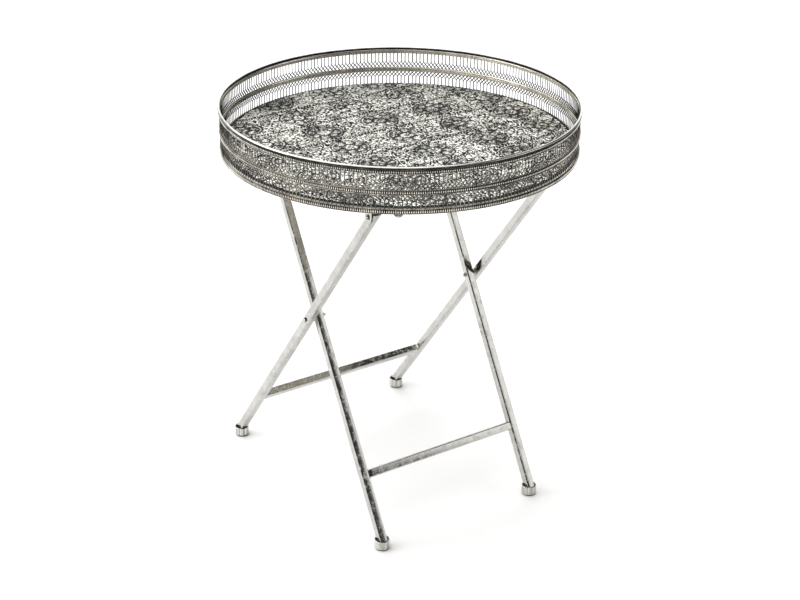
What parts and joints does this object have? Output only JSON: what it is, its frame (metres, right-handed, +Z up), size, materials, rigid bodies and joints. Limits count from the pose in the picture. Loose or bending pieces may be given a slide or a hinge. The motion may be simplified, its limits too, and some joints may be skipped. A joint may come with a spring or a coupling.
{
  "type": "folding tray table",
  "caption": "Round gallery tray with an embossed floor and a pierced rim, resting on a folding X stand of square tube.",
  "frame": {"origin": "on the floor, under the centre of the round tray", "axes": "+Z up; the crossing bolts, stretchers and top rails run along Y; the outer frame's feet are at -X"},
  "size_m": [0.5, 0.5, 0.594],
  "materials": {
    "bright_nickel": "bright polished nickel plate",
    "polished_nickel": "polished nickel plate with faint cloudy mottling",
    "antique_nickel": "antiqued nickel, dark in the recesses",
    "embossed_nickel": "embossed nickel sheet, bright relief over dark patina",
    "plain_steel": "plain satin steel",
    "black_plastic": "matt moulded plastic"
  },
  "bodies": {
    "outer_frame": {"outer_leg_front": "polished_nickel", "outer_leg_back": "polished_nickel", "outer_stretcher": "polished_nickel", "outer_plug_front": "black_plastic", "outer_plug_back": "black_plastic", "outer_foot_cup_front": "polished_nickel", "outer_foot_cup_back": "polished_nickel", "outer_glide_front": "black_plastic", "outer_glide_back": "black_plastic", "crossing_bolt_front": "bright_nickel", "crossing_bolt_back": "bright_nickel", "crossing_nut_front": "bright_nickel", "crossing_nut_back": "bright_nickel", "crossing_washer_front": "plain_steel", "crossing_washer_back": "plain_steel", "outer_rail_rivet_front": "bright_nickel", "outer_rail_rivet_back": "bright_nickel"},
    "inner_frame": {"inner_leg_front": "polished_nickel", "inner_leg_back": "polished_nickel", "inner_stretcher": "polished_nickel", "inner_plug_front": "black_plastic", "inner_plug_back": "black_plastic", "inner_foot_cup_front": "polished_nickel", "inner_foot_cup_back": "polished_nickel", "inner_glide_front": "black_plastic", "inner_glide_back": "black_plastic", "inner_rail_rivet_front": "bright_nickel", "inner_rail_rivet_back": "bright_nickel"},
    "outer_rail": {"outer_rail": "polished_nickel"},
    "inner_rail": {"inner_rail": "polished_nickel"},
    "tray": {"base_disc": "plain_steel", "embossed_floor": "embossed_nickel", "bottom_band": "antique_nickel", "lower_gallery": "antique_nickel", "middle_band": "antique_nickel", "upper_gallery": "antique_nickel", "top_band": "antique_nickel", "rim_bead": "bright_nickel", "tray_foot_1": "polished_nickel", "tray_foot_2": "polished_nickel", "tray_foot_3": "polished_nickel", "tray_foot_4": "polished_nickel", "outer_rail_stop_front": "plain_steel", "outer_rail_stop_back": "plain_steel", "inner_rail_stop_front": "plain_steel", "inner_rail_stop_back": "plain_steel"}
  },
  "joints": [
    {"name": "frame_fold", "type": "hinge", "parent": "outer_frame", "child": "inner_frame", "pos_m": [-0.0055, 0, 0.2968], "axis": [0, 1, 0], "range_deg": [0, 64]},
    {"name": "inner_rail_swivel", "type": "hinge", "parent": "inner_frame", "child": "inner_rail", "pos_m": [-0.13395, 0, 0.514], "axis": [0, 1, 0], "range_deg": [-31, 0]},
    {"name": "outer_rail_swivel", "type": "hinge", "parent": "outer_frame", "child": "outer_rail", "pos_m": [0.16026, 0, 0.514], "axis": [0, 1, 0], "range_deg": [0, 38]},
    {"name": "tray_lift", "type": "slide", "parent": "outer_frame", "child": "tray", "axis": [0, 0, 1], "range_m": [0, 0.2]}
  ],
  "couplings": [
    {"joint": "inner_rail_swivel", "follows": "frame_fold", "ratio": -0.47813},
    {"joint": "outer_rail_swivel", "follows": "frame_fold", "ratio": 0.58359},
    {"joint": "tray_lift", "follows": "frame_fold", "m_per_rad": 0.179}
  ]
}
